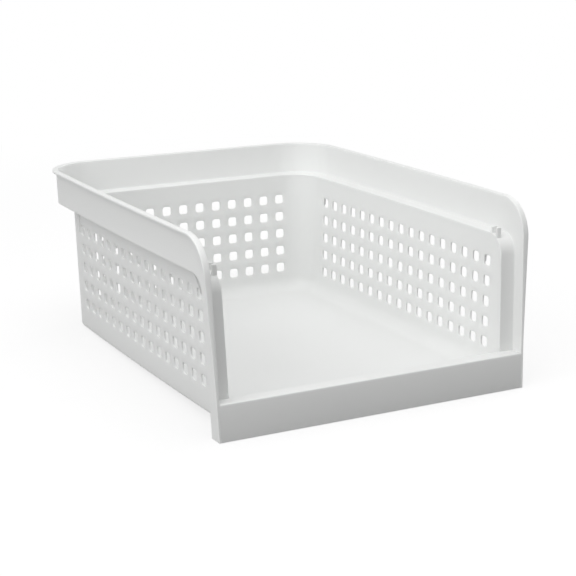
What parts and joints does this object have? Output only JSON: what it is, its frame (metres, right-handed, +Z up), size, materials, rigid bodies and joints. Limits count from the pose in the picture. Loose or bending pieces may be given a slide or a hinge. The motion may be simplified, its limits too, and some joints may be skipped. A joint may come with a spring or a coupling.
{
  "type": "open-front storage bin",
  "caption": "Open-front stacking storage bin moulded in one piece, with perforated side and back walls, a stepped stacking ledge, a rolled rim and a low front edge.",
  "frame": {"origin": "middle of the footprint, at the level of the front panel's lower edge", "axes": "+X across the opening, +Y from the open front to the back wall, +Z up"},
  "size_m": [0.2536, 0.326, 0.134],
  "materials": {
    "bin_plastic": "satin moulded"
  },
  "bodies": {
    "root": {"floor_tray": "bin_plastic", "back_wall": "bin_plastic", "stacking_ledge": "bin_plastic", "rim_band": "bin_plastic", "rim_lip": "bin_plastic", "front_sill": "bin_plastic", "front_panel": "bin_plastic", "left_side_wall": "bin_plastic", "rear_left_corner": "bin_plastic", "left_step_post": "bin_plastic", "left_front_flange": "bin_plastic", "left_front_lug": "bin_plastic", "left_rear_lug": "bin_plastic", "left_front_gusset": "bin_plastic", "left_rear_gusset": "bin_plastic", "right_side_wall": "bin_plastic", "rear_right_corner": "bin_plastic", "right_step_post": "bin_plastic", "right_front_flange": "bin_plastic", "right_front_lug": "bin_plastic", "right_rear_lug": "bin_plastic", "right_front_gusset": "bin_plastic", "right_rear_gusset": "bin_plastic"}
  },
  "joints": []
}
